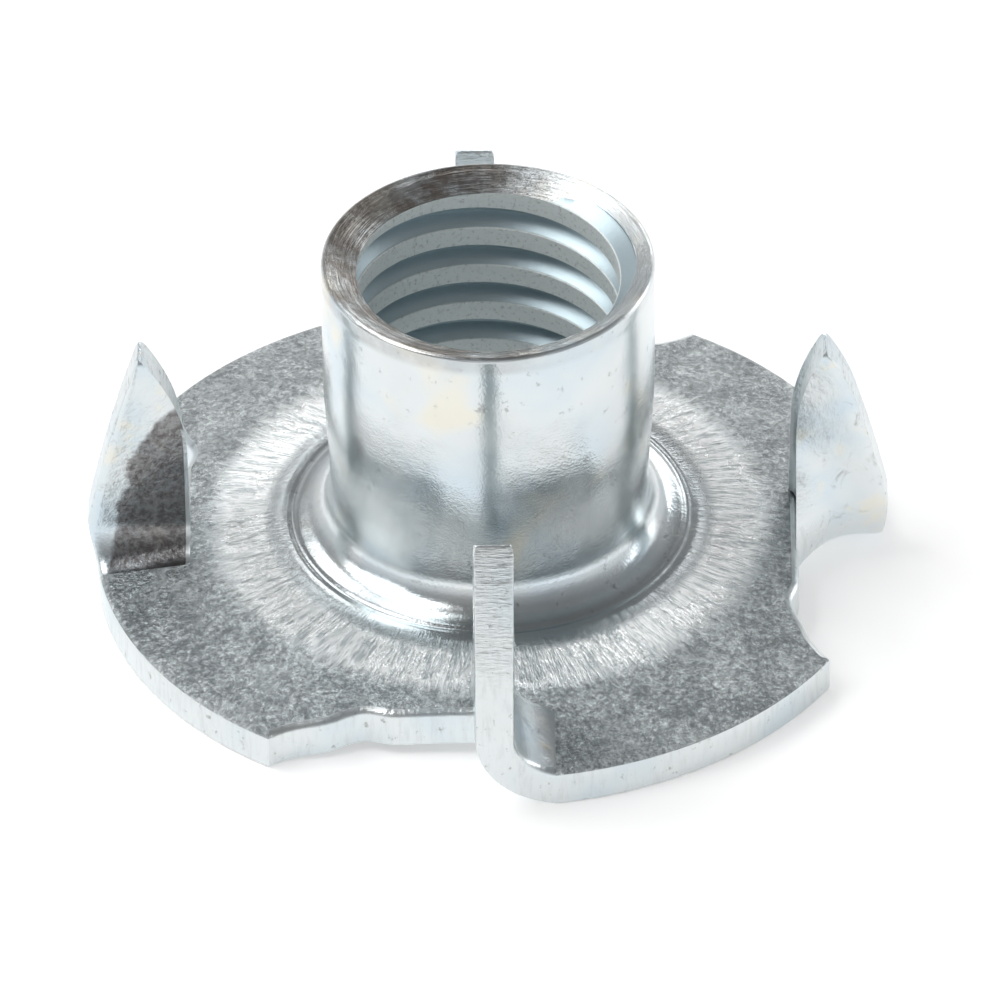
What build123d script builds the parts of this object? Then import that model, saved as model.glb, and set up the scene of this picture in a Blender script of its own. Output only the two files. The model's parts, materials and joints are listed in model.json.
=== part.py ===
"""Four-prong tee nut, stamped and drawn from one steel sheet.

The origin is the middle of the flange's underside, +Z runs up the barrel, and the first prong
stands on +X. Seen from above, each prong was folded up out of the notch on its clockwise side.
"""

from build123d import *
import os
from math import atan2, cos, hypot, sin, sqrt

# Driving dimensions, mm
thread_major_radius = 4.0  # M8 x 1.25
thread_pitch = 1.25
barrel_radius = 4.5
barrel_height = 10.29
flange_radius = 10.73
rim_thickness = 1.04
prong_count = 4
prong_height = 7.63

# Bore: its wall stands at the crests of the thread, which have wide flats
thread_depth = 0.36 * thread_pitch
bore_radius = thread_major_radius - thread_depth
countersink_depth = 0.40
lip_round = 0.10
mouth_radius = 1.90  # the drawn-in funnel at the foot of the bore
mouth_foot_z = 0.76

# Barrel: it is a little narrower where it was drawn out of the sheet
neck_radius = 4.33
neck_z = 2.76
neck_top_z = 3.75
barrel_straight_z = 5.60
root_radius = 0.92  # sweep from the neck out to the flange
root_foot_z = 1.85

# Flange: a shallow dome that rests on a narrow flat ring at its rim
rest_ring_inner_radius = 10.35
crease_radius = 7.55
crease_z = 1.54

# Notch, in the frame of the prong on +X: X outwards, Y along the rim
slit_x = 8.36  # the prong's inner edge and the notch's floor are one straight cut
notch_corner = (9.20, -5.86)  # just past the rim, which it meets in a sharp point
notch_hollow = [(8.66, -5.00), (8.42, -4.20), (8.14, -3.45)]
notch_floor_end = (slit_x, -2.50)
notch_reach = (10.45, -7.55)

# Prong: a fold about a line along X, then an upright blade that narrows to a chisel point
fold_y = 1.70
fold_z = 2.20
blade_bulge = 0.22  # the blade's outer edge stands this far outside the flange
blade_shoulder_z = 2.04
blade_edge = [(10.66, 3.40), (10.35, 4.75), (9.97, 6.10)]
blade_slant_z = 6.10  # the inner edge leans outwards above this
tip_outer = (9.52, 7.30)
tip = (9.22, prong_height)
tip_inner = (9.08, prong_height - 0.05)

# The strip that is folded starts just inside the flange, a hair thinner than it
strip_lap = 0.20
strip_skin = 0.015

clear = 2.0  # how far a cutting solid runs past what it cuts
root_foot_radius = neck_radius + root_radius - sqrt(root_radius**2 - (neck_z - root_foot_z) ** 2)
shoulder_radius = flange_radius + blade_bulge


def top_z(radius):
    """Height of the flange's upper face outside the crease."""
    fall = (crease_z - rim_thickness) / (flange_radius - crease_radius)
    return crease_z - fall * (radius - crease_radius)


def under_z(radius):
    """Height of the flange's underside inside the ring that it rests on."""
    rise = mouth_foot_z / (rest_ring_inner_radius - bore_radius - mouth_radius)
    return rise * (rest_ring_inner_radius - radius)


def outline_face(points):
    """A face in the XZ plane with straight sides."""
    return Plane.XZ * make_face(Polyline(*points, close=True))


def flanged_barrel():
    """Barrel and full round flange, spun from half of their section."""
    mouth_top = (bore_radius, mouth_foot_z + mouth_radius)
    mouth_foot = (bore_radius + mouth_radius, mouth_foot_z)
    section = [
        Polyline(mouth_foot, (rest_ring_inner_radius, 0), (flange_radius, 0), (flange_radius, rim_thickness)),
        Polyline((flange_radius, rim_thickness), (crease_radius, crease_z), (root_foot_radius, root_foot_z)),
        RadiusArc((root_foot_radius, root_foot_z), (neck_radius, neck_z), root_radius),
        Polyline(
            (neck_radius, neck_z),
            (neck_radius, neck_top_z),
            (barrel_radius, barrel_straight_z),
            (barrel_radius, barrel_height - lip_round),
            (barrel_radius - lip_round, barrel_height),
            (bore_radius, barrel_height - countersink_depth),
            mouth_top,
        ),
        RadiusArc(mouth_top, mouth_foot, -mouth_radius),
    ]
    return revolve(Plane.XZ * make_face(Curve() + section), axis=Axis.Z)


def notch():
    """What is cut away beside and under the prong on +X."""
    far_x = flange_radius + clear
    outline = [
        Polyline((slit_x, fold_y), (far_x, fold_y), (far_x, notch_reach[1]), notch_reach, notch_corner),
        Spline(notch_corner, *notch_hollow, notch_floor_end),
        Line(notch_floor_end, (slit_x, fold_y)),
    ]
    return extrude(Pos(0, 0, -clear) * make_face(Curve() + outline), amount=2 * clear + root_foot_z)


def prong():
    """The strip on +X, folded up out of the flange and trimmed to its blade."""
    start, end = slit_x, shoulder_radius
    fall = (top_z(hypot(start, fold_y)) - rim_thickness) / (sqrt(flange_radius**2 - fold_y**2) - start)
    upper = top_z(hypot(start, fold_y)) - strip_skin
    lower = under_z(hypot(start, fold_y)) + strip_skin
    drop = fall * (end - start)
    strip = outline_face([(start, lower), (end, lower - drop), (end, upper - drop), (start, upper)])
    strip = Pos(0, fold_y, 0) * strip
    lap = extrude(strip, amount=strip_lap, dir=(0, 1, 0))

    slope = atan2(drop, end - start)
    fold_line = Axis((start, fold_y, fold_z), (-cos(slope), 0, sin(slope)))
    fold = revolve(strip, axis=fold_line, revolution_arc=90)
    blade = extrude(strip.rotate(fold_line, 90), amount=prong_height, dir=(sin(slope), 0, cos(slope)))

    outline = [
        Polyline((shoulder_radius, blade_shoulder_z), (shoulder_radius, -clear), (start, -clear)),
        Polyline((start, -clear), (start, blade_slant_z), tip_inner, tip, tip_outer),
        Spline(tip_outer, *reversed(blade_edge), (shoulder_radius, blade_shoulder_z)),
    ]
    side = extrude(Plane.XZ * make_face(Curve() + outline), amount=2 * clear, both=True)
    limit = [
        (0, 0),
        (flange_radius, 0),
        (flange_radius, rim_thickness),
        (shoulder_radius, blade_shoulder_z),
        (shoulder_radius, barrel_height),
        (0, barrel_height),
    ]
    round_limit = revolve(outline_face(limit), axis=Axis.Z)
    return (lap + fold + blade) & side & round_limit


def tee_nut():
    body = flanged_barrel()
    cut, strip = notch(), prong()
    for index in range(prong_count):
        turn = Rot(0, 0, index * 360 / prong_count)
        body = body - turn * cut + turn * strip
    return body


os.makedirs("parts", exist_ok=True)
part = tee_nut()
export_step(part, "parts/tee_nut.step")
print("tee_nut", part.bounding_box(), "volume", round(part.volume, 1))
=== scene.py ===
import json
from math import cos, hypot, pi, radians, sin, sqrt, tan

import bmesh
import bpy
from mathutils import Matrix, Vector


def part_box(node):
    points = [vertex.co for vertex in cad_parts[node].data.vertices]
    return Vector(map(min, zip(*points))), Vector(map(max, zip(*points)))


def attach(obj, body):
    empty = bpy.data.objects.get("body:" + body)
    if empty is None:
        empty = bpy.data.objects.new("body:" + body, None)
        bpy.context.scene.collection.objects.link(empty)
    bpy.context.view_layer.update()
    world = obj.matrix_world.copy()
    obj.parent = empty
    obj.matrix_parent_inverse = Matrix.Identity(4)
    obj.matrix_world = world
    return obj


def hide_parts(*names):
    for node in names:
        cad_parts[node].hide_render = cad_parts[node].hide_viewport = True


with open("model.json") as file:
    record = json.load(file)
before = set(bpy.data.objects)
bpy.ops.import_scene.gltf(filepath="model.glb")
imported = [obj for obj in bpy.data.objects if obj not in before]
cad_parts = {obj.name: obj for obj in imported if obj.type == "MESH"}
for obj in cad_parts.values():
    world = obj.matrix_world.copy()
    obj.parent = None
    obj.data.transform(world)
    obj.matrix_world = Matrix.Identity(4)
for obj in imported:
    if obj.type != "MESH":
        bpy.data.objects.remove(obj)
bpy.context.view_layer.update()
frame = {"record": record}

bl_info = {
    "name": "Tee nut",
    "version": (1, 0, 0),
    "blender": (4, 5, 0),
    "location": "View3D > Sidebar > Tee nut",
    "description": "Builds a zinc plated four-prong tee nut and a plain stage for it",
    "category": "Add Mesh",
}

MM = 0.001
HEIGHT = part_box("tee_nut")[1].z / MM
THREAD_MOUNT = next(m for m in frame["record"]["mounts"] if m["name"] == "thread")
BARREL_MOUNT = next(m for m in frame["record"]["mounts"] if m["name"] == "barrel")
CREST_RADIUS = THREAD_MOUNT["dims"]["r_mm"]
BARREL_RADIUS = BARREL_MOUNT["dims"]["r_mm"]
FLANGE_RADIUS = 10.73


# ---------------------------------------------------------------- settings

class NutSizes(bpy.types.PropertyGroup):
    """Sizes of the stamping that a user may change"""

    flange_radius: bpy.props.FloatProperty(
        name="Flange radius", description="Radius of the round flange",
        default=FLANGE_RADIUS * MM, unit="LENGTH", precision=5)
    sheet: bpy.props.FloatProperty(
        name="Sheet", description="Thickness of the steel sheet",
        default=1.07 * MM, unit="LENGTH", precision=5)
    pitch: bpy.props.FloatProperty(
        name="Pitch", description="Rise of the thread in one turn",
        default=1.25 * MM, unit="LENGTH", precision=5)
    thread_radius: bpy.props.FloatProperty(
        name="Thread radius", description="Radius of the bottom of the thread's grooves",
        default=4.0 * MM, unit="LENGTH", precision=5)
    die_roll: bpy.props.FloatProperty(
        name="Die roll", description="How far the punched upper edges are drawn round",
        default=0.24 * MM, unit="LENGTH", precision=5)
    around: bpy.props.IntProperty(
        name="Facets", description="Facets round the barrel and flange", default=240, min=48)


class NutFinish(bpy.types.PropertyGroup):
    """Colours of the zinc plate that a user may change"""

    zinc: bpy.props.FloatVectorProperty(
        name="Zinc", description="Colour of the bright plate", subtype="COLOR", size=3,
        default=(0.75, 0.79, 0.795), min=0, max=1)
    blue: bpy.props.FloatVectorProperty(
        name="Blue tint", description="Colour where the passivation looks blue", subtype="COLOR",
        size=3, default=(0.62, 0.72, 0.78), min=0, max=1)
    straw: bpy.props.FloatVectorProperty(
        name="Straw tint", description="Colour where the passivation looks yellow", subtype="COLOR",
        size=3, default=(0.82, 0.79, 0.68), min=0, max=1)
    soot: bpy.props.FloatVectorProperty(
        name="Speck", description="Colour of the dark specks and smudges", subtype="COLOR", size=3,
        default=(0.22, 0.22, 0.21), min=0, max=1)


class StageSettings(bpy.types.PropertyGroup):
    """Camera and lights"""

    elevation: bpy.props.FloatProperty(
        name="Elevation", description="Camera's height above the horizon", subtype="ANGLE",
        default=radians(37.15))
    roll: bpy.props.FloatProperty(
        name="Roll", description="Camera's turn about its own line of sight", subtype="ANGLE",
        default=radians(-0.489))
    distance: bpy.props.FloatProperty(
        name="Distance", description="From the camera to the point that it looks at",
        default=0.4615, unit="LENGTH")
    lens: bpy.props.FloatProperty(
        name="Lens", description="Focal length in millimetres on a 36 mm frame", default=611.6)
    floor: bpy.props.FloatProperty(
        name="Floor", description="How pale the floor is", default=0.9, min=0, max=1,
        subtype="FACTOR")


# ---------------------------------------------------------------- outlines, in millimetres

FLOOR_X = 8.36
FOLD_Y = 1.70
FOLD_Z = 2.20
NECK_RADIUS, NECK_Z = 4.33, 3.75
ROOT_RADIUS = 5.17
CREASE_RADIUS = 7.55
REST_RADIUS = 10.45
OUTER_SLOPE, INNER_SLOPE = 0.157, 0.132
DOME_SOFTNESS = 0.25
LIP = 0.12
COUNTERSINK = 0.38
MOUTH_RADIUS = 1.90
PILOT_RADIUS = 3.30


def lift(radius):
    """How far the domed flange stands above flat at this radius."""
    radius = max(radius, ROOT_RADIUS)
    inward = REST_RADIUS - max(radius, CREASE_RADIUS)
    rise = OUTER_SLOPE * 0.5 * (inward + hypot(inward, DOME_SOFTNESS))
    return rise + INNER_SLOPE * max(0, CREASE_RADIUS - radius)


def arc(centre, radius, start, end, count):
    """Points on an arc, angles in degrees."""
    cx, cz = centre
    angles = [radians(start + (end - start) * i / count) for i in range(count + 1)]
    return [(cx + radius * cos(a), cz + radius * sin(a)) for a in angles]


def run(start, end, step):
    """Points along a straight line, without its last one."""
    length = hypot(end[0] - start[0], end[1] - start[1])
    count = max(1, round(length / step))
    return [(start[0] + (end[0] - start[0]) * i / count, start[1] + (end[1] - start[1]) * i / count)
            for i in range(count)]


def curve(points, step):
    """A smooth line through the points, by Catmull-Rom, without its last point."""
    ends = [2 * Vector(points[0]) - Vector(points[1]), 2 * Vector(points[-1]) - Vector(points[-2])]
    knots = [ends[0]] + [Vector(p) for p in points] + [ends[1]]
    line = []
    for a, b, c, d in zip(knots, knots[1:], knots[2:], knots[3:]):
        count = max(2, round((c - b).length / step))
        for i in range(count):
            t = i / count
            line.append(tuple(0.5 * (2 * b + (c - a) * t + (2 * a - 5 * b + 4 * c - d) * t * t
                                     + (3 * b - a - 3 * c + d) * t ** 3)))
    return line


def body_section(sizes):
    """Half section of barrel and flange with the flange still flat, as (radius, height)."""
    sheet, rim, roll = sizes.sheet / MM, sizes.flange_radius / MM, sizes.die_roll / MM
    base = lift(ROOT_RADIUS)
    top = HEIGHT - base
    neck_z = NECK_Z - base
    flare = 0.85
    mouth = (CREST_RADIUS + MOUTH_RADIUS, MOUTH_RADIUS + 0.02)
    points = run((mouth[0], 0.02), (rim - 0.06, 0), 0.25)
    points += arc((rim - 0.06, 0.06), 0.06, -90, 0, 3)
    points += run((rim, 0.12), (rim, sheet - 0.6 * roll), 0.2)[1:]
    points += [(rim - roll + roll * cos(a), sheet - 0.6 * roll + 0.6 * roll * sin(a))
               for a in (radians(15 * i) for i in range(7))]
    points += run((rim - roll, sheet), (6.2, sheet), 0.2)[1:]
    # towards the barrel the skin rises a little, with a shallow groove where the drawing die stopped
    points += [(6.2 - 0.08 * i, sheet + 0.0004 * i * i) for i in range(9)]
    points += [(5.50, sheet + 0.022), (5.45, sheet + 0.010), (5.40, sheet - 0.004), (5.35, sheet - 0.006)]
    points += [(5.30, sheet + 0.008), (5.25, sheet + 0.030), (5.19, sheet + 0.042), (5.12, sheet + 0.050)]
    points += [(5.06, sheet + 0.064)]
    points += arc((NECK_RADIUS + flare, sheet + 0.06 + flare), flare, 257, 180, 18)
    points += run((NECK_RADIUS, sheet + 0.06 + flare), (NECK_RADIUS, neck_z), 0.3)[1:]
    points += curve([(NECK_RADIUS, neck_z), (4.40, neck_z + 1.1), (4.47, neck_z + 2.3),
                     (BARREL_RADIUS - 0.01, neck_z + 3.6)], 0.25)[1:]
    points += run((BARREL_RADIUS - 0.01, neck_z + 3.6), (BARREL_RADIUS - 0.005, top - LIP), 0.25)
    points += [(BARREL_RADIUS - LIP + LIP * cos(a), top - LIP + LIP * sin(a))
               for a in (radians(18 * i) for i in range(6))]
    points += countersink(top)
    points += run((PILOT_RADIUS, top - COUNTERSINK - 0.13), (PILOT_RADIUS, mouth[1] - 0.33), 0.5)
    points += arc(mouth, MOUTH_RADIUS, 190, 270, 16)[:-1]
    return points


def countersink(top):
    """The wide coned lip, with the faint rings that the forming tool left."""
    start, end = BARREL_RADIUS - LIP, CREST_RADIUS - 0.02
    points = []
    count = 22
    for i in range(1, count + 1):
        t = i / count
        radius = start + (end - start) * t
        ring = 0.012 * sin(t * 5.2 * pi) * (1 - t) + 0.02 * max(0, 1 - abs(t - 0.62) / 0.08)
        points.append((radius, top - COUNTERSINK * t ** 1.15 - ring))
    return points + [(PILOT_RADIUS + 0.1, top - COUNTERSINK - 0.11)]


# ---------------------------------------------------------------- mesh helpers

def new_object(name, bm):
    mesh = bpy.data.meshes.new(name)
    bm.to_mesh(mesh)
    bm.free()
    obj = bpy.data.objects.new(name, mesh)
    bpy.context.scene.collection.objects.link(obj)
    return obj


def spun(points, steps, rise=0.0):
    """Spins a line of (radius, height) points once round Z; with a rise it climbs as a screw."""
    bm = bmesh.new()
    verts = [bm.verts.new((r, 0, z)) for r, z in points]
    edges = [bm.edges.new(pair) for pair in zip(verts, verts[1:])]
    if not rise:
        edges.append(bm.edges.new((verts[-1], verts[0])))
    bmesh.ops.spin(bm, geom=verts + edges, cent=(0, 0, 0), axis=(0, 0, 1), dvec=(0, 0, rise / steps),
                   angle=2 * pi, steps=steps, use_merge=not rise, use_duplicate=False)
    bmesh.ops.remove_doubles(bm, verts=bm.verts, dist=1e-3)
    return bm


def cut(obj, cutter, operation="DIFFERENCE"):
    """Applies a boolean and removes the cutter."""
    modifier = obj.modifiers.new("cut", "BOOLEAN")
    modifier.operation = operation
    modifier.solver = "EXACT"
    modifier.material_mode = "TRANSFER"
    modifier.object = cutter
    depsgraph = bpy.context.evaluated_depsgraph_get()
    mesh = bpy.data.meshes.new_from_object(obj.evaluated_get(depsgraph))
    obj.modifiers.clear()
    old = obj.data
    obj.data = mesh
    bpy.data.meshes.remove(old)
    bpy.data.objects.remove(cutter)


# ---------------------------------------------------------------- notches and prongs

# one entry for each prong, counter-clockwise from +X: how the four differ
PRONGS = [
    {"shift": 0.00, "height": 7.15, "lean": 0.00, "corner": 0.10, "bulge": 0.08, "tip": 9.10, "web": 1.0},
    {"shift": -0.05, "height": 7.22, "lean": 0.05, "corner": 0.15, "bulge": 0.10, "tip": 9.25, "web": 0.3},
    {"shift": -0.05, "height": 7.40, "lean": -0.20, "corner": 0.00, "bulge": 0.18, "tip": 9.43, "web": 0.3},
    {"shift": -0.28, "height": 7.70, "lean": 0.00, "corner": -0.55, "bulge": 0.15, "tip": 9.25, "web": 0.1},
]


def notch_outline(corner):
    """The floor and the hollow of a notch, from the fold to past the rim."""
    floor = run((FLOOR_X, FOLD_Y), (FLOOR_X, -2.30), 0.25)
    k = 1 + corner / -5.7
    hollow = [(FLOOR_X, -2.30), (8.33, -2.75), (8.16, -3.35), (8.24, -3.80), (8.46, -4.35),
              (8.66, -5.00 * k), (9.12, -5.74 * k), (10.2, -7.2 * k)]
    return floor + curve(hollow, 0.12) + [hollow[-1]]


def notch_cutter(sizes, prong, turn):
    """A solid that cuts one notch and draws its upper edge round, for the flat flange."""
    sheet, roll = sizes.sheet / MM, sizes.die_roll / MM
    outline = [Vector(p) for p in notch_outline(prong["corner"])]
    outside = []
    for before, here, after in zip([outline[0]] + outline, outline, outline[1:] + [outline[-1]]):
        along = (after - before).normalized()
        outside.append(Vector((along.y, -along.x)) if along.length else Vector((-1, 0)))
    outside[0] = Vector((-1, 0))
    far = [Vector((13.5, outline[-1].y)), Vector((13.5, FOLD_Y))]
    slices = [(-0.4, 0.45), (0.05, 0.0), (sheet - 0.6 * roll, 0.0)]
    slices += [(sheet - 0.6 * roll + 0.6 * roll * sin(a), roll * (1 - cos(a)))
               for a in (radians(15 * i) for i in range(1, 6))]
    slices += [(sheet + 0.05, roll * 1.5)]
    bm = bmesh.new()
    first = None
    for height, offset in slices:
        ring = [p + n * offset for p, n in zip(outline, outside)] + far
        if first is None:
            verts = [bm.verts.new((p.x, p.y, height)) for p in ring]
            loop = [bm.edges.new(pair) for pair in zip(verts, verts[1:] + verts[:1])]
            bm.faces.new(verts)
            first = True
        else:
            new = bmesh.ops.extrude_edge_only(bm, edges=loop)["geom"]
            verts = [g for g in new if isinstance(g, bmesh.types.BMVert)]
            loop = [g for g in new if isinstance(g, bmesh.types.BMEdge)]
            # the copies keep the order of the ring that they came from
            for vert, point in zip(verts, ring):
                vert.co = (point.x, point.y, height)
    bmesh.ops.contextual_create(bm, geom=loop)
    bmesh.ops.recalc_face_normals(bm, faces=bm.faces)
    bmesh.ops.rotate(bm, verts=bm.verts, cent=(0, 0, 0), matrix=Matrix.Rotation(turn, 3, "Z"))
    return bm


def grow_prong(bm, seat, prong, turn):
    """Draws the strip at one fold out of the flange, folds it up and narrows it to its point.

    The seat layer numbers the corners of the strip's section, and the copies keep their numbers.
    """
    to_prong = Matrix.Rotation(-turn, 3, "Z")
    bm.faces.ensure_lookup_table()
    foot = [f for f in bm.faces
            if all(abs((to_prong @ v.co).y - FOLD_Y) < 1e-3 and (to_prong @ v.co).x > FLOOR_X - 1
                   for v in f.verts)]
    if not foot:
        raise RuntimeError("a prong has no foot to grow from")
    fold_steps, blade_steps, tip_steps = 16, 26, 5
    reach = sqrt(FLANGE_RADIUS ** 2 - FOLD_Y ** 2)
    slope = OUTER_SLOPE
    height = prong["height"]
    blade = height - FOLD_Z
    corners = {v for f in foot for v in f.verts}
    section = [to_prong @ v.co for v in corners]
    for number, vert in enumerate(corners):
        vert[seat] = number
    for step in range(1, fold_steps + blade_steps + tip_steps + 1):
        grown = bmesh.ops.extrude_face_region(bm, geom=foot)["geom"]
        verts = [g for g in grown if isinstance(g, bmesh.types.BMVert)]
        bmesh.ops.delete(bm, geom=foot, context="FACES_ONLY")
        foot = [g for g in grown if isinstance(g, bmesh.types.BMFace)]
        bend = min(1, step / fold_steps)
        raised = max(0, min(1, (step - fold_steps) / blade_steps))
        point = max(0, step - fold_steps - blade_steps) / tip_steps
        up = blade * (0.955 * raised + 0.045 * sin(point * pi / 2))
        inner, outer = blade_edges(prong, bend, up, blade)
        pinch = sqrt(max(0, 1 - point ** 2)) if point else 1
        middle = (inner + outer) / 2
        for vert in verts:
            corner = section[vert[seat]]
            along = (corner.x - FLOOR_X) / (reach - FLOOR_X)
            depth = FOLD_Z - (corner.z + slope * (corner.x - FLOOR_X))
            x = inner + (outer - inner) * along
            x = middle + (x - middle) * (0.3 + 0.7 * pinch)
            angle = bend * pi / 2
            y = FOLD_Y - depth * sin(angle)
            z = FOLD_Z - slope * (corner.x - FLOOR_X) * (1 - bend) - depth * cos(angle) + up
            centre_y = FOLD_Y - 1.36
            y = centre_y + (y - centre_y) * (0.7 + 0.3 * pinch)
            y += prong["shift"] * bend + prong["lean"] * (up / blade) ** 2
            # the corner beside the slit is torn less deep, so the bend keeps a web there
            outside = max(0, min(1, depth - 0.83))
            web = prong["web"] * outside * web_share(step / fold_steps) * (1 - along) ** 3
            y -= 1.2 * web
            z -= 0.45 * web
            vert.co = to_prong.transposed() @ Vector((x, y, z))


def web_share(part):
    """How much of the web is left after this part of the fold: it fades out above the bend."""
    if part < 0.5:
        return sin(pi * part) ** 0.7
    return 0.5 + 0.5 * cos(pi * min(1, (part - 0.5) / 1.3))


def skin_prongs(bm):
    """Gives the broad faces of the prongs the sheet's own skin and the narrow ones the cut edge."""
    bmesh.ops.recalc_face_normals(bm, faces=bm.faces)
    for index in range(len(PRONGS)):
        to_prong = Matrix.Rotation(-index * pi / 2, 3, "Z")
        for face in bm.faces:
            middle = to_prong @ face.calc_center_median()
            if middle.x > FLOOR_X - 0.05 and FOLD_Y - 3.4 < middle.y < FOLD_Y - 0.01:
                face.material_index = 1 if abs((to_prong @ face.normal).x) > 0.6 else 2
    rim = (FLANGE_RADIUS - 0.03, 0.45)
    for face in bm.faces:
        middle = face.calc_center_median()
        if hypot(middle.x, middle.y) > rim[0] and middle.z < 1.2 and abs(face.normal.z) < rim[1]:
            face.material_index = 1


def blade_edges(prong, bend, up, blade):
    """Inner and outer distance of the blade from the nut's axis at this height above the fold."""
    s = up * 5.45 / blade
    outer = FLANGE_RADIUS + prong["bulge"] - 0.19 * s - 0.0125 * s * s
    end = FLANGE_RADIUS + prong["bulge"] - 1.407
    outer -= (end - prong["tip"] - 0.05) * (max(0, s - 3.8) / 1.65) ** 2
    inner = FLOOR_X - 0.01 + (prong["tip"] - 0.05 - FLOOR_X) * (max(0, s - 2.45) / 3.0) ** 2
    start = sqrt(FLANGE_RADIUS ** 2 - FOLD_Y ** 2)
    ease = bend * bend * (3 - 2 * bend)
    return inner, start + (outer - start) * ease


# ---------------------------------------------------------------- thread

def tap_section(sizes, turns):
    """One side of the tap, from bottom to top, as (radius, height)."""
    pitch, root = sizes.pitch / MM, sizes.thread_radius / MM
    depth = root - CREST_RADIUS
    flank = depth * tan(radians(30))
    crest = 0.45 * pitch
    soft = 0.05
    line = []
    for turn in range(turns):
        z = turn * pitch
        line += [(CREST_RADIUS, z + crest * i / 3) for i in range(3)]
        line += [(CREST_RADIUS + soft * 0.15, z + crest - soft * 0.2),
                 (CREST_RADIUS + soft, z + crest + soft * 0.7)]
        line += [(root - soft, z + crest + flank - soft * 0.6), (root, z + crest + flank + soft * 0.4)]
        line += [(root, z + pitch - flank - soft * 0.4), (root - soft, z + pitch - flank + soft * 0.6)]
        line += [(CREST_RADIUS + soft, z + pitch - soft * 0.7),
                 (CREST_RADIUS + soft * 0.15, z + pitch - soft * 0.1)]
    line.append((CREST_RADIUS, turns * pitch))
    return line


def tap(sizes, start_z, turns, steps):
    """The screw-shaped solid that leaves the thread in the bore."""
    pitch = sizes.pitch / MM
    side = tap_section(sizes, turns)
    line = [(0, 0)] + side + [(0, turns * pitch)]
    bm = spun(line, steps, rise=pitch)
    open_edges = [e for e in bm.edges if e.is_boundary]
    bmesh.ops.holes_fill(bm, edges=open_edges, sides=0)
    bmesh.ops.recalc_face_normals(bm, faces=bm.faces)
    bmesh.ops.translate(bm, verts=bm.verts, vec=(0, 0, start_z))
    return bm


# ---------------------------------------------------------------- materials

class Nodes:
    """Small helper that adds and links shader nodes."""

    def __init__(self, name):
        self.material = bpy.data.materials.new(name)
        self.material.use_nodes = True
        self.tree = self.material.node_tree
        self.tree.nodes.clear()

    def add(self, kind, inputs=None, **settings):
        node = self.tree.nodes.new(kind)
        for key, value in settings.items():
            setattr(node, key, value)
        for key, value in (inputs or {}).items():
            if isinstance(value, bpy.types.NodeSocket):
                self.tree.links.new(value, node.inputs[key])
            else:
                node.inputs[key].default_value = value
        return node

    def math(self, operation, *values, clamp=False):
        node = self.add("ShaderNodeMath", dict(enumerate(values)), operation=operation, use_clamp=clamp)
        return node.outputs[0]

    def band(self, value, low, high, edge):
        """1 between low and high, falling to 0 over the width of the edge."""
        up = self.add("ShaderNodeMapRange", {0: value, 1: low - edge, 2: low, 3: 0.0, 4: 1.0},
                      interpolation_type="SMOOTHSTEP").outputs[0]
        down = self.add("ShaderNodeMapRange", {0: value, 1: high, 2: high + edge, 3: 1.0, 4: 0.0},
                        interpolation_type="SMOOTHSTEP").outputs[0]
        return self.math("MULTIPLY", up, down)

    def noise(self, vector, scale, detail=2.0, roughness=0.5, distortion=0.0):
        return self.add("ShaderNodeTexNoise", {"Vector": vector, "Scale": scale, "Detail": detail,
                                               "Roughness": roughness, "Distortion": distortion}).outputs[0]

    def remap(self, value, low, high, to_low=0.0, to_high=1.0):
        return self.add("ShaderNodeMapRange", {0: value, 1: low, 2: high, 3: to_low, 4: to_high},
                        interpolation_type="SMOOTHSTEP").outputs[0]

    def mix(self, factor, first, second):
        node = self.add("ShaderNodeMix", {0: factor}, data_type="RGBA")
        for index, value in ((6, first), (7, second)):
            if isinstance(value, bpy.types.NodeSocket):
                self.tree.links.new(value, node.inputs[index])
            else:
                node.inputs[index].default_value = (*value, 1)
        return node.outputs[2]

    def bump(self, height, strength, depth_mm, normal=None):
        inputs = {"Height": height, "Strength": strength, "Distance": depth_mm * MM}
        if normal is not None:
            inputs["Normal"] = normal
        return self.add("ShaderNodeBump", inputs).outputs[0]


def places(n):
    """Position in millimetres, its parts and the distance from the axis."""
    coords = n.add("ShaderNodeTexCoord").outputs["Object"]
    place = n.add("ShaderNodeMapping", {"Vector": coords, "Scale": (1000, 1000, 1000)}).outputs[0]
    split = n.add("ShaderNodeSeparateXYZ", {0: place})
    x, y, z = split.outputs
    flat = n.add("ShaderNodeCombineXYZ", {"X": x, "Y": y}).outputs[0]
    radius = n.add("ShaderNodeVectorMath", {0: flat}, operation="LENGTH").outputs["Value"]
    heading = n.add("ShaderNodeVectorMath", {0: flat}, operation="NORMALIZE").outputs["Vector"]
    return place, x, y, z, radius, heading


def prong_painted_shade(n, place, x, y, z):
    """Painted shade: the dark patch inside the prong on -X, which leaves a pale strip along its outer edge."""
    ragged = n.math("MULTIPLY", n.noise(place, 1.3, 4.0, 0.6), 1.0)
    under = n.math("ADD", n.math("MULTIPLY_ADD", x, 1.24, 16.2), ragged)
    under = n.remap(n.math("SUBTRACT", under, z), 0.0, 0.25)
    beside = n.math("MULTIPLY_ADD", z, -0.21, 10.5)
    beside = n.remap(n.math("ADD", n.math("ADD", x, beside), ragged), 0.3, 0.5)
    face = n.math("MULTIPLY", n.remap(y, -0.75, -0.6, 1.0, 0.0), n.remap(x, -8.2, -8.0, 1.0, 0.0))
    return n.math("MULTIPLY", n.math("MULTIPLY", under, beside), face)


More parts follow.
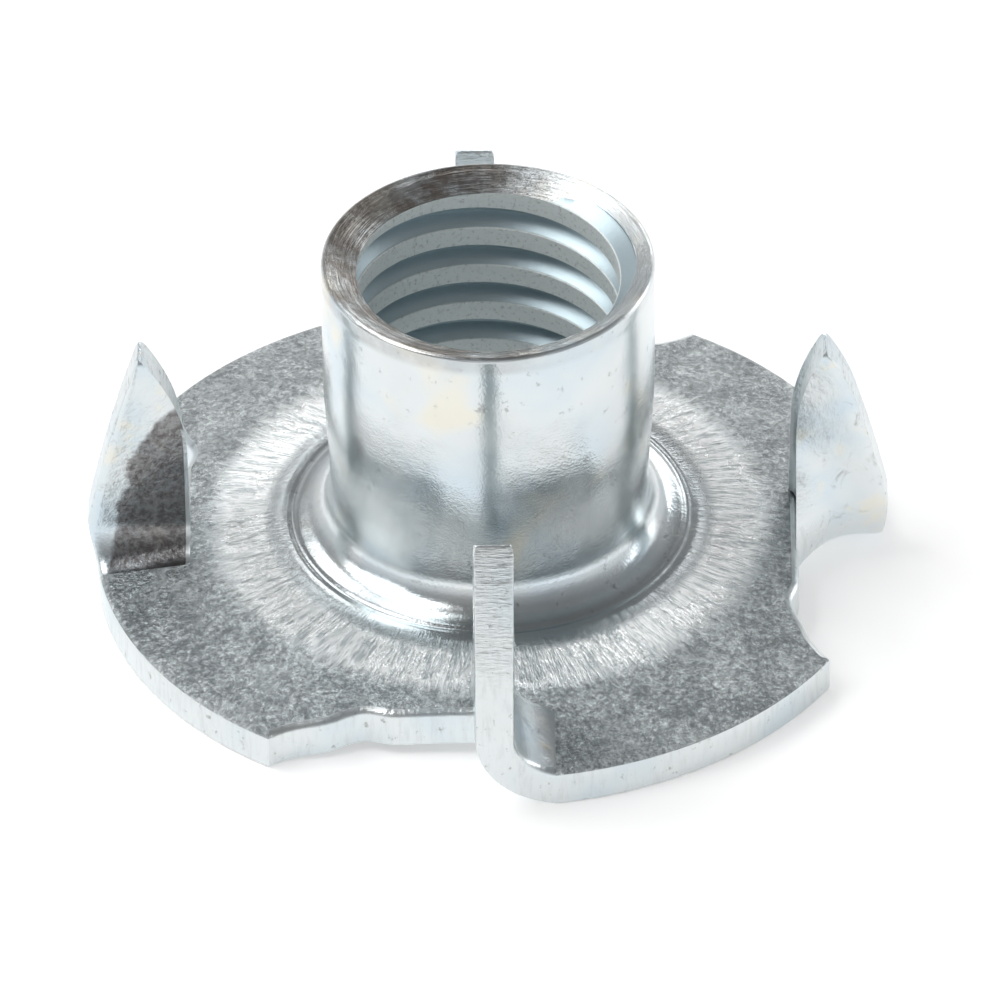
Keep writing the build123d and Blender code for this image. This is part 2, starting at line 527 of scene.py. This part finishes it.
def zinc_prong(finish):
    """The smooth faces of the folded prongs, with smudges and a patch of painted shade on the prong on -X."""
    n = Nodes("zinc_prong")
    place, x, y, z, radius, heading = places(n)
    colour = n.mix(n.remap(n.noise(place, 0.5, 2.0), 0.40, 0.68, 0.0, 0.8), tuple(finish.zinc), tuple(finish.blue))
    colour = n.mix(n.remap(n.noise(place, 0.8, 3.0, 0.6), 0.54, 0.70, 0.0, 0.6), colour, tuple(finish.straw))
    smears = n.remap(n.noise(place, 1.7, 5.0, 0.72, 0.6), 0.56, 0.74, 0.0, 0.5)
    colour = n.mix(smears, colour, tuple(finish.soot))
    unevenness = n.remap(n.noise(place, 5.0, 5.0, 0.7), 0.42, 0.62, 0.75, 1.0)
    # painted shade: a dark patch over the lower part of the inner face of the prong on -X, broken up by noise
    stain_and_painted_shade = n.math("MULTIPLY", prong_painted_shade(n, place, x, y, z), unevenness)
    colour = n.mix(stain_and_painted_shade, colour, (0.16, 0.15, 0.15))
    bump = n.bump(n.noise(place, 1.1, 3.0), 0.35, 0.08)
    bump = n.bump(n.noise(place, 8.0, 4.0, 0.6), 0.25, 0.04, bump)
    shader = n.add("ShaderNodeBsdfPrincipled", {"Base Color": colour, "Metallic": 1.0,
                                                "Roughness": 0.26, "Normal": bump})
    n.add("ShaderNodeOutputMaterial", {"Surface": shader.outputs[0]})
    return n.material


def zinc_sheet(finish):
    """Bright plate on the sheet's own skin: smooth barrel, drawn ring, mottled outer flange, and painted shade on
    the smooth ring round the root.
    """
    n = Nodes("zinc_sheet")
    place, x, y, z, radius, heading = places(n)
    low = n.remap(z, 2.2, 3.2, 1.0, 0.0)
    spokes = n.add("ShaderNodeVectorMath", {0: heading, 1: (34.0, 34.0, 34.0)}, operation="MULTIPLY").outputs[0]
    slow = n.math("MULTIPLY", radius, 0.9)
    streak_place = n.add("ShaderNodeVectorMath",
                         {0: spokes, 1: n.add("ShaderNodeCombineXYZ", {"Z": slow}).outputs[0]},
                         operation="ADD").outputs[0]
    streaks = n.noise(streak_place, 1.0, 4.0, 0.65)
    fine_streaks = n.noise(streak_place, 3.1, 3.0, 0.6)
    ragged = n.math("MULTIPLY_ADD", streaks, 1.8, -0.9)
    border = n.math("ADD", radius, ragged)
    ring = n.math("MULTIPLY", n.remap(radius, 5.55, 6.25), n.remap(border, 7.1, 7.9, 1.0, 0.0))
    ring = n.math("MULTIPLY", ring, low)
    outer = n.math("MULTIPLY", n.remap(border, 6.9, 8.0), low)
    pebble = n.noise(place, 5.5, 5.0, 0.68, 0.2)
    grain = n.noise(place, 13.0, 3.0, 0.6)
    smudge = n.noise(place, 0.55, 3.0, 0.55)
    tint = n.noise(place, 0.33, 2.0, 0.5)

    colour = n.mix(n.remap(tint, 0.42, 0.68, 0.0, 0.75), tuple(finish.zinc), tuple(finish.blue))
    yellow = n.noise(n.add("ShaderNodeVectorMath", {0: place, 1: (31.0, 7.0, 3.0)}, operation="ADD").outputs[0],
                     0.42, 2.0, 0.5)
    yellow_share = n.math("MULTIPLY", n.remap(yellow, 0.53, 0.70, 0.0, 0.8), n.remap(low, 0.0, 1.0, 1.0, 0.1))
    colour = n.mix(yellow_share, colour, tuple(finish.straw))
    cloud = n.noise(place, 0.7, 3.0, 0.6)
    unevenness = n.math("ADD", n.math("MULTIPLY", pebble, 0.55), n.math("MULTIPLY", grain, 0.35))
    mottled = n.mix(n.remap(n.math("ADD", unevenness, n.math("MULTIPLY", cloud, 0.30)), 0.46, 0.80),
                    (0.20, 0.225, 0.235), (0.74, 0.79, 0.80))
    colour = n.mix(outer, colour, mottled)
    stripes = n.math("ADD", streaks, n.math("MULTIPLY", fine_streaks, 0.6))
    drawn = n.mix(n.remap(stripes, 0.62, 0.88), (0.56, 0.61, 0.62), (0.98, 1.0, 1.0))
    colour = n.mix(ring, colour, drawn)
    # painted shade: the smooth ring round the root of the barrel is darkened to a dark grey
    calm_ring_painted_shade = n.math("MULTIPLY", n.band(radius, 5.25, 5.9, 0.35), low)
    colour = n.mix(n.math("MULTIPLY", calm_ring_painted_shade, 0.8), colour, (0.40, 0.43, 0.44))
    specks = n.remap(n.noise(place, 2.6, 5.0, 0.7), 0.60, 0.71, 0.0, 0.5)
    colour = n.mix(specks, colour, tuple(finish.soot))
    lip = n.math("MULTIPLY", n.remap(z, HEIGHT - 0.6, HEIGHT - 0.35), n.remap(radius, 4.36, 4.50, 1.0, 0.35))
    stain_and_painted_shade = n.math("MULTIPLY", lip, n.remap(n.noise(place, 0.9, 4.0, 0.65), 0.35, 0.65, 1.0, 0.5))
    stain_and_painted_shade = n.math("MULTIPLY", stain_and_painted_shade, n.remap(x, -0.5, 3.0, 1.0, 0.25))
    colour = n.mix(stain_and_painted_shade, colour, (0.24, 0.22, 0.20))
    round_place = n.add("ShaderNodeVectorMath", {0: heading, 1: (1.6, 1.6, 1.6)}, operation="MULTIPLY").outputs[0]
    ring_place = n.add("ShaderNodeVectorMath",
                       {0: round_place,
                        1: n.add("ShaderNodeCombineXYZ", {"Z": n.math("MULTIPLY", radius, 16.0)}).outputs[0]},
                       operation="ADD").outputs[0]
    scratches = n.math("MULTIPLY", n.noise(ring_place, 1.0, 3.0, 0.7), lip)

    rough = n.math("ADD", n.remap(smudge, 0.35, 0.7, 0.13, 0.24),
                   n.math("ADD", n.math("MULTIPLY", ring, 0.10), n.math("MULTIPLY", outer, 0.06)))
    wave = n.bump(n.noise(place, 0.8, 2.0, 0.5), 0.35, 0.06)
    pebbled = n.bump(n.math("MULTIPLY", pebble, outer), 0.85, 0.13, wave)
    brushed = n.bump(n.math("MULTIPLY", n.math("ADD", streaks, n.math("MULTIPLY", fine_streaks, 0.5)), ring),
                     1.0, 0.15, pebbled)
    scored = n.bump(scratches, 0.7, 0.06, brushed)
    skin = n.bump(grain, 0.14, 0.04, scored)
    shader = n.add("ShaderNodeBsdfPrincipled", {"Base Color": colour, "Metallic": 1.0,
                                                "Roughness": rough, "Normal": skin})
    n.add("ShaderNodeOutputMaterial", {"Surface": shader.outputs[0]})
    return n.material


def zinc_cut_edge(finish):
    """Plate over the punched edges: pale and even, with fine shear marks and dark specks."""
    n = Nodes("zinc_cut_edge")
    place, x, y, z, radius, heading = places(n)
    tall = n.add("ShaderNodeMapping", {"Vector": place, "Scale": (7.0, 7.0, 1.2)}).outputs[0]
    shear = n.noise(tall, 1.0, 3.0, 0.6)
    colour = n.mix(n.remap(n.noise(place, 0.5, 2.0), 0.4, 0.7, 0.0, 0.6), tuple(finish.zinc), tuple(finish.blue))
    colour = n.mix(n.remap(shear, 0.45, 0.75, 0.0, 0.35), colour, (0.54, 0.56, 0.57))
    specks = n.remap(n.noise(place, 3.4, 5.0, 0.7), 0.60, 0.70, 0.0, 0.6)
    colour = n.mix(specks, colour, tuple(finish.soot))
    level = n.add("ShaderNodeMapping", {"Vector": place, "Scale": (1.6, 1.6, 11.0)}).outputs[0]
    hatch = n.noise(level, 1.0, 3.0, 0.7)
    upper = n.remap(z, 3.6, 5.0)
    colour = n.mix(n.math("MULTIPLY", n.remap(hatch, 0.52, 0.70, 0.0, 0.55), upper), colour, tuple(finish.soot))
    bump = n.bump(shear, 0.4, 0.05)
    bump = n.bump(n.math("MULTIPLY", hatch, upper), 0.6, 0.08, bump)
    bump = n.bump(n.noise(place, 9.0, 3.0), 0.2, 0.03, bump)
    shader = n.add("ShaderNodeBsdfPrincipled", {"Base Color": colour, "Metallic": 1.0,
                                                "Roughness": 0.30, "Normal": bump})
    n.add("ShaderNodeOutputMaterial", {"Surface": shader.outputs[0]})
    return n.material


def zinc_thread(finish):
    """The tapped bore: speckled flat crests between smooth blue-grey grooves."""
    n = Nodes("zinc_thread")
    place, x, y, z, radius, heading = places(n)
    crest = n.remap(radius, CREST_RADIUS + 0.015, CREST_RADIUS + 0.05, 1.0, 0.0)
    grain = n.noise(place, 9.0, 4.0, 0.65)
    colour = n.mix(crest, (0.46, 0.56, 0.60), (0.86, 0.90, 0.89))
    colour = n.mix(n.math("MULTIPLY", n.remap(grain, 0.52, 0.7, 0.0, 0.35), crest), colour, tuple(finish.soot))
    rough = n.remap(crest, 0.0, 1.0, 0.36, 0.50)
    metal = n.remap(crest, 0.0, 1.0, 0.75, 0.45)
    bump = n.bump(n.math("MULTIPLY", grain, n.remap(crest, 0.0, 1.0, 0.25, 1.0)), 0.5, 0.05)
    shader = n.add("ShaderNodeBsdfPrincipled", {"Base Color": colour, "Metallic": metal,
                                                "Roughness": rough, "Normal": bump})
    n.add("ShaderNodeOutputMaterial", {"Surface": shader.outputs[0]})
    return n.material


def floor_material(paleness):
    """Plain pale floor that still shows the nut's shadow."""
    n = Nodes("pale_floor")
    seen = n.add("ShaderNodeLightPath")
    direct = n.math("MAXIMUM", n.math("MAXIMUM", seen.outputs["Is Camera Ray"], seen.outputs["Is Glossy Ray"]),
                    seen.outputs["Is Transmission Ray"])
    matt = n.add("ShaderNodeBsdfDiffuse", {"Color": (paleness, paleness, paleness, 1)})
    glow = n.add("ShaderNodeEmission", {"Color": (1, 1, 1, 1), "Strength": n.math("MULTIPLY", direct, 0.38)})
    both = n.add("ShaderNodeAddShader", {0: matt.outputs[0], 1: glow.outputs[0]})
    n.add("ShaderNodeOutputMaterial", {"Surface": both.outputs[0]})
    return n.material


# ---------------------------------------------------------------- operators

class TEENUT_OT_nut(bpy.types.Operator):
    """Makes the nut: spins the blank, punches the notches, folds the prongs and taps the bore"""

    bl_idname = "teenut.nut"
    bl_label = "Make the nut"

    def execute(self, context):
        sizes, finish = context.scene.tee_nut_sizes, context.scene.tee_nut_finish
        materials = [zinc_sheet(finish), zinc_cut_edge(finish), zinc_prong(finish), zinc_thread(finish)]
        bm = spun(body_section(sizes), sizes.around)
        bmesh.ops.recalc_face_normals(bm, faces=bm.faces)
        nut = new_object("stamped_nut", bm)
        for material in materials[:3]:
            nut.data.materials.append(material)
        for index, prong in enumerate(PRONGS):
            cutter = new_object("notch_cutter", notch_cutter(sizes, prong, index * pi / 2))
            cutter.data.materials.append(materials[1])
            cut(nut, cutter)

        bm = bmesh.new()
        bm.from_mesh(nut.data)
        seat = bm.verts.layers.int.new("seat")
        for vert in bm.verts:
            vert.co.z += lift(hypot(vert.co.x, vert.co.y))
        for index, prong in enumerate(PRONGS):
            grow_prong(bm, seat, prong, index * pi / 2)
        bm.verts.layers.int.remove(seat)
        skin_prongs(bm)
        bm.to_mesh(nut.data)
        bm.free()

        turns = 9
        cutter = new_object("tap", tap(sizes, HEIGHT - 9.9, turns, 144))
        cutter.data.materials.append(materials[3])
        cut(nut, cutter)

        bm = bmesh.new()
        bm.from_mesh(nut.data)
        bmesh.ops.scale(bm, verts=bm.verts, vec=(MM, MM, MM))
        for face in bm.faces:
            face.smooth = True
        bm.to_mesh(nut.data)
        bm.free()
        nut.data.set_sharp_from_angle(angle=radians(32))
        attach(nut, "root")
        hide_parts("tee_nut")
        return {"FINISHED"}


class TEENUT_OT_stage(bpy.types.Operator):
    """Makes the floor, the lights and the camera"""

    bl_idname = "teenut.stage"
    bl_label = "Make the stage"

    def execute(self, context):
        settings = context.scene.tee_nut_stage
        bm = bmesh.new()
        bmesh.ops.create_circle(bm, cap_ends=True, radius=1.5, segments=64)
        floor = new_object("floor", bm)
        floor.data.materials.append(floor_material(settings.floor))
        make_world(context.scene)
        make_lights()
        make_camera(context.scene, settings)
        return {"FINISHED"}


def make_world(scene):
    """A soft grey sky that is brightest at the horizon."""
    world = bpy.data.worlds.new("studio")
    world.use_nodes = True
    scene.world = world
    tree = world.node_tree
    tree.nodes.clear()
    coords = tree.nodes.new("ShaderNodeTexCoord")
    split = tree.nodes.new("ShaderNodeSeparateXYZ")
    ramp = tree.nodes.new("ShaderNodeValToRGB")
    background = tree.nodes.new("ShaderNodeBackground")
    output = tree.nodes.new("ShaderNodeOutputWorld")
    tree.links.new(coords.outputs["Generated"], split.inputs[0])
    tree.links.new(split.outputs["Z"], ramp.inputs[0])
    tree.links.new(ramp.outputs[0], background.inputs[0])
    tree.links.new(background.outputs[0], output.inputs[0])
    stops = [(0.0, 1.0), (0.26, 0.95), (0.42, 0.62), (0.64, 0.42), (1.0, 0.26)]
    ramp.color_ramp.interpolation = "EASE"
    while len(ramp.color_ramp.elements) < len(stops):
        ramp.color_ramp.elements.new(0.5)
    for element, (place, level) in zip(ramp.color_ramp.elements, stops):
        element.position = place
        element.color = (level, level, level * 1.01, 1)
    background.inputs["Strength"].default_value = 0.75


def make_lights():
    """Two soft boxes at the sides and a weak one behind."""
    boxes = [
        ("left_box", (-0.22, 0.00, 0.30), (0.26, 0.26), 0.72),
        ("right_box", (0.34, 0.16, 0.12), (0.16, 0.20), 0.18),
        ("back_box", (0.08, 0.40, 0.17), (0.26, 0.07), 0.20),
        ("high_box", (-0.10, 0.24, 0.29), (0.16, 0.10), 0.13),
    ]
    for name, place, size, power in boxes:
        light = bpy.data.lights.new(name, "AREA")
        light.shape = "RECTANGLE"
        light.size, light.size_y = size
        light.energy = power
        lamp = bpy.data.objects.new(name, light)
        lamp.location = place
        aim = Vector((0, 0, 0.003)) - Vector(place)
        lamp.rotation_euler = aim.to_track_quat("-Z", "Y").to_euler()
        bpy.context.scene.collection.objects.link(lamp)


def make_camera(scene, settings):
    """Looks down the front of the nut along a long lens."""
    e, roll = settings.elevation, settings.roll
    back = Vector((0, -cos(e), sin(e)))
    right = Vector((1, 0, 0))
    up = back.cross(right)
    side = cos(roll) * right + sin(roll) * up
    top = -sin(roll) * right + cos(roll) * up
    target = Vector((0.2746, 0, 2.206)) * MM
    camera = bpy.data.objects.new("camera", bpy.data.cameras.new("camera"))
    camera.data.lens = settings.lens
    camera.data.sensor_width = 36
    camera.data.clip_start = 0.01
    matrix = Matrix((side, top, back)).transposed().to_4x4()
    matrix.translation = target + back * settings.distance
    camera.matrix_world = matrix
    scene.collection.objects.link(camera)
    scene.camera = camera
    scene.view_settings.view_transform = "Standard"


class TEENUT_PT_panel(bpy.types.Panel):
    """Lists the sizes, the finish and the operators"""

    bl_idname = "TEENUT_PT_panel"
    bl_label = "Tee nut"
    bl_space_type = "VIEW_3D"
    bl_region_type = "UI"
    bl_category = "Tee nut"

    def draw(self, context):
        scene = context.scene
        for group in (scene.tee_nut_sizes, scene.tee_nut_finish, scene.tee_nut_stage):
            for name in group.__annotations__:
                self.layout.prop(group, name)
        self.layout.operator("teenut.nut")
        self.layout.operator("teenut.stage")


CLASSES = (NutSizes, NutFinish, StageSettings, TEENUT_OT_nut, TEENUT_OT_stage, TEENUT_PT_panel)
GROUPS = {"tee_nut_sizes": NutSizes, "tee_nut_finish": NutFinish, "tee_nut_stage": StageSettings}


def register():
    for cls in CLASSES:
        bpy.utils.register_class(cls)
    for name, group in GROUPS.items():
        setattr(bpy.types.Scene, name, bpy.props.PointerProperty(type=group))


def unregister():
    for name in GROUPS:
        delattr(bpy.types.Scene, name)
    for cls in reversed(CLASSES):
        bpy.utils.unregister_class(cls)


def main():
    register()
    bpy.ops.teenut.nut()
    bpy.ops.teenut.stage()


if __name__ == "__main__":
    main()
